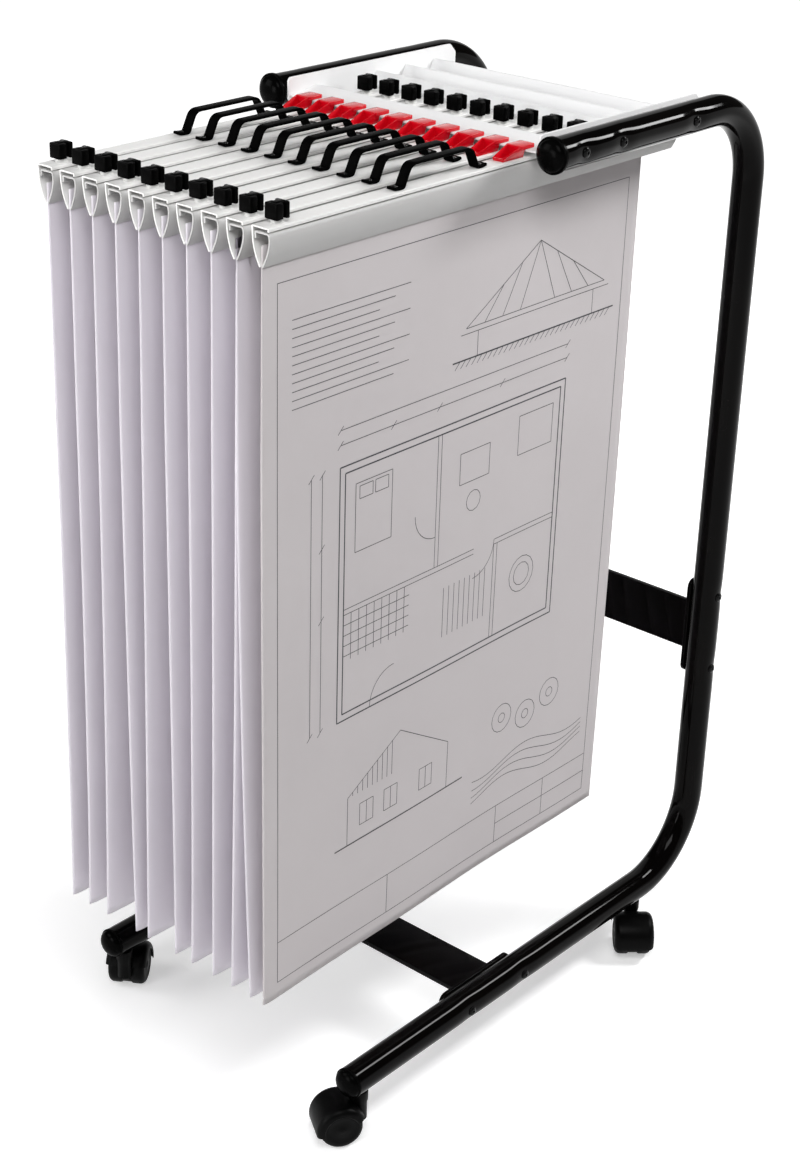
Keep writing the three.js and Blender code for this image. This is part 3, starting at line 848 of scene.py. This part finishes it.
def handle(x):
    """A rounded bar along the strap's softened path, widening a little towards its feet."""
    low, high = strap_thick / 2 + 0.1, handle_height - strap_thick / 2
    foot = [(handle_heel / 2, low), (foot_middle, low), (handle_toe / 2, low + toe_lift)]
    side = [(handle_top / 2, high), *foot]
    line = np.concatenate([(np.array(side) * [-1, 1])[::-1], side])
    line = soften(line, handle_bends, 8)
    step = unit(np.gradient(line, axis=0))
    path = np.column_stack([np.full(len(line), x), line[:, 0] + handle_y, line[:, 1] + hanger_top])
    over = np.column_stack([np.zeros(len(line)), -step[:, 1], step[:, 0]])
    widen = 1 + strap_widening * (1 - line[:, 1] / high)
    grow = np.stack([widen, np.ones(len(line))], -1)
    bar = rectangle(strap_wide, strap_thick, strap_edge)[None] * grow[:, None]
    return shell(carry(bar, path, np.tile(X, (len(line), 1)), over))


def rivets(x):
    """Two low domes on the strap's feet."""
    reach, top = foot_middle + 1.0, hanger_top + strap_thick
    crown = dome(rivet_radius, rivet_rim, rivet_dome, 6)
    profile = np.concatenate([[[0, rivet_root], [rivet_radius, rivet_root]], crown])
    return [spin(profile, (x, handle_y + way * reach, top), Z, X, steps=20) for way in (-1, 1)]


# %% Outlines of a hook clip
clip_length, clip_tongue, clip_height, roof_thick = 33.0, 15.0, 12.5, 4.0
clip_front, clip_flare, clip_wall, lip_height, roof_start = 13.3, 3.0, 1.6, 3.2, 25.5
half_front, half_roof = clip_front / 2, clip_front / 2 + clip_flare
clip_inside, roof_inside = half_front - clip_wall / 2, half_roof - clip_wall / 2
clip_reach = clip_length + clip_tongue
clip_side = soften([
    (0, 0.05), (clip_length, 0.05), (clip_length, clip_height - 0.3),
    (roof_start, clip_height - 0.1), (0, lip_height),
], 0.5, 3, closed=True)
clip_floor = rectangle(2 * clip_inside, 1.1)
clip_lip = rectangle(2 * clip_inside, lip_height - 0.2, 0.4)
back_low, back_high = 0.5, clip_height - 0.5
clip_back = [
    (-clip_inside, back_low), (clip_inside, back_low), (roof_inside, back_high), (-roof_inside, back_high),
]
clip_roof = soften([
    (-half_roof, roof_start), (half_roof, roof_start), (half_roof, clip_reach), (-half_roof, clip_reach),
], [0.6, 0.6, 2.5, 2.5], 5, closed=True)


# %% A hook clip
def clip(x):
    """A scoop: two walls that lean outwards as they rise, with a lip, a floor, a back wall and a roof."""
    base = np.array([x, clip_y, hanger_top])
    walls = []
    for way in (-1, 1):
        lean = Z + way * X * clip_flare / clip_height
        foot = base + way * X * (half_front - clip_wall)
        walls.append(slab(clip_side, clip_wall, 0.35, foot, Y, lean, way * X))
    floor, lip = base + Z * 0.65, base + Z * lip_height / 2
    return walls + [
        straight(clip_floor, floor + Y * 0.4, floor + Y * (clip_length - 0.5), X, Z),
        straight(clip_lip, lip + Y * 0.2, lip + Y * clip_wall, X, Z),
        slab(clip_back, clip_wall, 0.1, base + Y * (roof_start + 0.2), X, Z, Y),
        slab(clip_roof, roof_thick, 0.5, base + Z * (clip_height - roof_thick), X, Y, Z),
    ]


# %% The ten hangers
for n, x in enumerate(hanger_x, start=1):
    body, node = f"hanger_{n}", [f"hanger_{n}"]
    start, end = (np.array([x, y, hanger_top]) for y in (hanger_front, hanger_rear))
    # the inner jaw takes the darker plastic, which is painted shade
    for jaw, line, plastic in (("outer", outer_line, hanger_white), ("inner", inner_line, inner_jaw_painted_shade)):
        bar = straight(strip(line, jaw_wall), start, end, X, Z)
        piece(f"hanger_{n}_{jaw}_jaw", [bar], plastic, body, node, edge=0.25)
    discs = [washer(x, y) for y in knob_y.values()]
    piece(f"hanger_{n}_washers", discs, washer_white, body, node)
    piece(f"hanger_{n}_handle", [handle(x)], satin_black, body, node)
    piece(f"hanger_{n}_rivets", rivets(x), rivet_steel, body)
    piece(f"hanger_{n}_clip", clip(x), clip_red, body, node)
    for place, y in knob_y.items():
        name = f"{place}_knob_{n}"
        piece(f"{name}_grip", knob(x, y), cap_black, name, [name])
print("hangers made")

# %% [markdown]
# ## The drawing sheets
#
# The sheets are paper of the standard size 594 by 841 mm, gripped by a short side. They hang straight
# in the jaws and then sway: the sideways reach grows as the square of the fall, from one amount at the
# front edge to another at the rear. Slow waves and a slight curl at the foot and along the front edge
# are added to that.

# %% A hanging sheet
sheet_width, sheet_drop, sheet_grip, sheet_thick, sheet_inset = 594.0, 841.0, 20.0, 1.0, 1.0
wave_size, ripple_size, curl_size, curl_power = 1.6, 0.7, 1.5, 9
edge_bend, edge_reach = 2.2, 4.0
sheet_columns = np.concatenate([np.linspace(0, 0.03, 9), np.linspace(0.03, 1, 59)[1:]])
sheet_rows = np.linspace(0, sheet_drop, 85)
sways = [
    [(-8, 4)], [(-11, -3)], [(-15, -6)], [(-1, 5)], [(-14, -4)],
    [(-1, 3)], [(-6, 2)], [(-7, -5)], [(-14, -8), (16, 3)], [(2, -6)],
]


def sheet_x(back, fall, sway, seed):
    """Sideways place: (front (1 - b) + rear b) f^2, plus waves that grow with the fall f, and two curls."""
    reach = (sway[0] * (1 - back) + sway[1] * back) * fall**2
    wave_back = np.sin(2 * np.pi * (0.8 * back + 0.17 * seed))
    wave_down = np.sin(np.pi * (0.7 * fall + 0.1 * seed))
    wave = wave_size * fall * wave_back * wave_down
    ripple = ripple_size * fall * np.sin(2 * np.pi * (2.1 * back + 0.31 * seed) + 2.0 * fall)
    curl = curl_size * fall**curl_power * np.cos(2 * np.pi * (0.5 * back + 0.23 * seed))
    edge_curl = -edge_bend * np.minimum(1, 4 * fall) * np.exp(-back * sheet_width / edge_reach)
    return reach + wave + ripple + curl + edge_curl


def sheet_surface(x, back, depth, sway, seed):
    """Points of a sheet at shares `back` of its width and millimetres `depth` below its top edge."""
    fall = np.clip((depth - sheet_grip) / (sheet_drop - sheet_grip), 0, 1)
    side = x + sheet_x(back, fall, sway, seed)
    along = hanger_front + sheet_inset + back * sheet_width
    height = hanger_top - hanger_height + sheet_grip - depth
    return np.stack(np.broadcast_arrays(side, along, height), -1)


def hang_sheet(name, n, x, sway, seed):
    """A grid of the sheet formula, thickened by Solidify, in place of the CAD sheet."""
    back, depth = np.meshgrid(sheet_columns, sheet_rows, indexing="ij")
    grid = shell(sheet_surface(x, back, depth, sway, seed), wrap_columns=False, caps=False)
    # the near sheet gets the darker paper, which is painted shade
    paper = near_sheet_painted_shade if n == hanger_count else paper_white
    leaf = piece(name, [grid], paper, f"hanger_{n}", [f"sheet_{n}"])
    solid = leaf.modifiers.new("paper thickness", "SOLIDIFY")
    solid.thickness = sheet_thick / METRE
    solid.offset = 0.0


# %% [markdown]
# ## A plan on the near sheet
#
# The near sheet carries a drawing, so it gets a plain one of its own: a border, a small house plan with
# walls, doors and stairs, measure lines, a roof truss, a gable and a garden, all without words. Each
# line is a thin ribbon on the sheet's own surface: its two edges are put through the same sheet
# formula, a hair outside it. Points are in millimetres from the sheet's top front corner.

# %% The lines of the drawing
def box_lines(*boxes):
    """The four sides of each rectangle x0, y0, x1, y1, as rows of both ends."""
    lines = []
    for x0, y0, x1, y1 in boxes:
        lines += [(x0, y0, x1, y0), (x1, y0, x1, y1), (x1, y1, x0, y1), (x0, y1, x0, y0)]
    return lines


def curve_lines(points):
    """A run of points as joined segments."""
    return np.concatenate([points[:-1], points[1:]], axis=1).tolist()


walls = box_lines((110, 250, 480, 540), (118, 258, 472, 532))
rooms = [(262, 258, 262, 410), (268, 258, 268, 410), (118, 410, 330, 410), (118, 416, 330, 416)]
rooms += [(366, 410, 472, 410), (366, 416, 472, 416), (366, 416, 366, 532), (372, 416, 372, 532)]
stairs = [(280 + 9 * i, 440, 280 + 9 * i, 500) for i in range(9)]
tiles = [(118 + 12 * i, 416, 118 + 12 * i, 470) for i in range(1, 9)]
tiles += [(118, 416 + 12 * i, 222, 416 + 12 * i) for i in range(1, 5)]
beds = box_lines((134, 274, 190, 350), (140, 278, 160, 292), (164, 278, 184, 292))
beds += box_lines((400, 274, 460, 320), (300, 290, 350, 326))
doors = [arc((262, 340), 34, 90, 180, 8), arc((330, 410), 36, 0, 90, 8), arc((200, 540), 38, 180, 270, 8)]
rounds = [arc((420, 470), 22, 0, 360, 16), arc((420, 470), 14, 0, 360, 12), arc((325, 350), 12, 0, 360, 12)]

# %% Measure lines, a roof truss, a gable and a garden
measures = [(110, 226, 480, 226), (110, 210, 480, 210), (84, 250, 84, 540), (68, 250, 68, 540)]
ticks = [(x, 226) for x in (110, 190, 262, 366, 480)] + [(x, 210) for x in (110, 480)]
ticks += [(84, y) for y in (250, 330, 410, 540)] + [(68, y) for y in (250, 540)]
measures += [(x - 4, y + 4, x + 4, y - 4) for x, y in ticks]
truss = [(300, 150, 540, 150), (300, 150, 420, 80), (420, 80, 540, 150), (292, 156, 548, 156)]
truss += [(320, 156, 320, 184), (520, 156, 520, 184), (280, 184, 560, 184)]
roof_slope = 0.583
for way in (-1, 1):
    for x in (30, 60, 90):
        truss.append((420 + way * x, 150, 420 + way * (x - 30), 80 + roof_slope * abs(x - 30)))
soil = [(284 + 9 * i, 192, 292 + 9 * i, 184) for i in range(30)]
gable = curve_lines([(130, 700), (130, 640), (215, 590), (300, 640), (300, 700)]) + [(110, 700, 330, 700)]
gable += [(130 + 8 * i, 640 - 4.7 * i, 130 + 8 * i, 640) for i in range(1, 10)]
windows = []
for x in (150, 190, 250):
    windows += box_lines((x, 655, x + 22, 682)) + [(x + 11, 655, x + 11, 682)]
trees = [arc((400 + 45 * i, 650 + 12 * (i % 2)), r, 0, 360, 16) for i in range(3) for r in (6, 18)]
stations = np.linspace(350, 560, 22)
paths = [np.stack([stations, 710 + 10 * k + 8 * np.sin(stations / 26 + k / 2)], -1) for k in range(4)]
notes = [(40, 80 + 9 * i, 210 - 23 * (i % 3), 80 + 9 * i) for i in range(11)]
border = box_lines((20, 40, 574, 821)) + [(20, 770, 574, 770), (400, 770, 400, 821)]
border += [(490, 770, 490, 821), (400, 795, 574, 795), (200, 770, 200, 821)]
curves = [line for curve in doors + rounds + trees + paths for line in curve_lines(curve)]
plan = border + rooms + stairs + tiles + beds
fine = plan + measures + truss + soil + gable + windows + notes + curves
bold = walls + [(110, 700, 330, 700), (280, 184, 560, 184)]
fine_width, bold_width, ink_lift = 0.8, 1.6, 0.1


# %% Ribbons on the sheet
def ribbons(lines, width, x, sway, seed, steps=13):
    """Strips along many segments at once: middle +- half a width, both edges put on the sheet's face."""
    lines = np.array(lines, float)
    start, end = lines[:, None, :2], lines[:, None, 2:]
    t = np.linspace(0, 1, steps)[None, :, None]
    middle = start + (end - start) * t
    along = unit(end - start)
    side = np.stack([-along[..., 1], along[..., 0]], -1) * width / 2
    edges = np.stack([middle - side, middle + side], axis=2)
    points = sheet_surface(x, edges[..., 0] / sheet_width, edges[..., 1], sway, seed)
    points[..., 0] += sheet_thick / 2 + ink_lift
    return [shell(ribbon, wrap_columns=False, caps=False) for ribbon in points]


# %% Hang every sheet
for n, (x, leaves) in enumerate(zip(hanger_x, sways), start=1):
    extras = []
    if n == hanger_count:
        drawing = ribbons(fine, fine_width, x, leaves[0], n) + ribbons(bold, bold_width, x, leaves[0], n)
        extras = [piece(f"sheet_{n}_drawing", drawing, ink_grey, f"hanger_{n}")]
    for k, sway in enumerate(leaves):
        hang_sheet(f"sheet_{n}_leaf_{k + 1}", n, x, sway, n + 3 * k)
print("sheets hung")

# %% [markdown]
# ## Floor, light and camera
#
# The photograph is taken from the right, a little above the hangers. The floor is plain and pale, and
# five soft lamps stand round the rack. The long one behind it on the right draws the thin bright lines
# along the black tubes. The world is dim, and white only low down, so that the floor has no far edge.

# %% Values that are worked out in a shader
def joined(tree, operation, first, second):
    """Two values joined by one arithmetic operation."""
    return add(tree, "Math", {0: first, 1: second}, operation=operation)["Value"]


def seen_rays(tree):
    """1 for rays from the camera, a gloss or a clear body, and 0 for rays that only carry light."""
    rays = add(tree, "LightPath")
    total = joined(tree, "MAXIMUM", rays["Is Camera Ray"], rays["Is Glossy Ray"])
    return joined(tree, "MAXIMUM", total, rays["Is Transmission Ray"])


# %% Floor and world
floor_reach, floor_fade, floor_glow = 60.0, (0.5, 3.0), (0.42, 1.0)
sky_fade, sky_levels = (0.1, 0.16), (0.05, 1.0)


def pale_floor():
    """A matt floor that glows where the camera or a gloss looks at it, up to white far from the rack."""
    tones = grey(0.88), grey(0.87)
    material = finish("pale floor", tones, (0.9, 0.95), (50.0, 0.01), gloss=0.0, drift=0.3)
    tree = material.node_tree
    place = add(tree, "TexCoord")["Object"]
    far = add(tree, "VectorMath", {0: place}, operation="LENGTH")["Value"]
    fade = ranged(tree, far, floor_fade, floor_glow)
    glow = add(tree, "Emission", {"Strength": joined(tree, "MULTIPLY", seen_rays(tree), fade)})[0]
    both = add(tree, "AddShader", {0: tree.nodes["Principled BSDF"].outputs[0], 1: glow})[0]
    feed(tree, tree.nodes["Material Output"].inputs, {"Surface": both})
    return material


def low_white_sky():
    """A dim world that looks white just above the floor's far edge."""
    sky = bpy.data.worlds.new("soft studio")
    sky.use_nodes = True
    tree = sky.node_tree
    direction = add(tree, "TexCoord")["Object"]
    height = add(tree, "SeparateXYZ", {"Vector": direction})["Z"]
    low = ranged(tree, height, sky_fade, (1.0, 0.0))
    level = ranged(tree, joined(tree, "MULTIPLY", seen_rays(tree), low), (0.0, 1.0), sky_levels)
    feed(tree, tree.nodes["Background"].inputs, {"Strength": level, "Color": (1, 1, 1, 1)})
    return sky


floor_mesh = bpy.data.meshes.new("studio_floor")
floor_corners = [(floor_reach * x, floor_reach * y, 0) for x, y in ((-1, -1), (1, -1), (1, 1), (-1, 1))]
floor_mesh.from_pydata(floor_corners, [], [(0, 1, 2, 3)])
floor_mesh.materials.append(pale_floor())
floor = new_object("studio_floor", floor_mesh)

bpy.context.scene.world = low_white_sky()
bpy.context.scene.view_settings.view_transform = "Standard"


# %% Lamps
def soft_lamp(name, place, target, size, power):
    """A rectangular lamp at `place` that faces `target`, in metres."""
    data = bpy.data.lights.new(name, "AREA")
    data.shape = "RECTANGLE"
    data.size, data.size_y = size
    data.energy = power
    aim = Vector(target) - Vector(place)
    turn = aim.to_track_quat("-Z", "Y").to_matrix().to_4x4()
    new_object(name, data).matrix_world = Matrix.Translation(place) @ turn


soft_lamp("front key", (-2.0, -2.4, 2.2), (0, 0, 0.7), (1.6, 1.6), 40.0)
soft_lamp("low front", (-0.3, -3.2, 1.2), (0, -0.3, 0.9), (1.2, 1.2), 40.0)
soft_lamp("overhead", (1.2, -1.3, 2.7), (0, 0, 1.0), (1.2, 1.2), 37.0)
soft_lamp("rear strip", (1.2, 1.85, 2.2), (0.53, 1.85, 1.46), (1.1, 0.46), 61.0)
soft_lamp("left panel", (-2.0, 2.3, 2.0), (0, 0, 0.9), (2.6, 2.4), 15.0)

# %% Camera
camera_place = (1.4774, -1.7298, 1.6181)
azimuth, elevation, roll = np.radians([40.476, 25.506, 1.705])
lens_length, sensor_height = 66.126, 36.0
level, rise = np.cos(elevation), np.sin(elevation)
back = np.array([np.sin(azimuth) * level, -np.cos(azimuth) * level, rise])
right = np.array([np.cos(azimuth), np.sin(azimuth), 0])
up = np.cross(back, right)
turned = [np.cos(roll) * right + np.sin(roll) * up, np.cos(roll) * up - np.sin(roll) * right, back]
lens = bpy.data.cameras.new("camera")
lens.sensor_fit = "VERTICAL"
lens.sensor_height = sensor_height
lens.lens = lens_length
camera = new_object("camera", lens)
camera.matrix_world = Matrix.Translation(camera_place) @ Matrix(turned).transposed().to_4x4()
bpy.context.scene.camera = camera
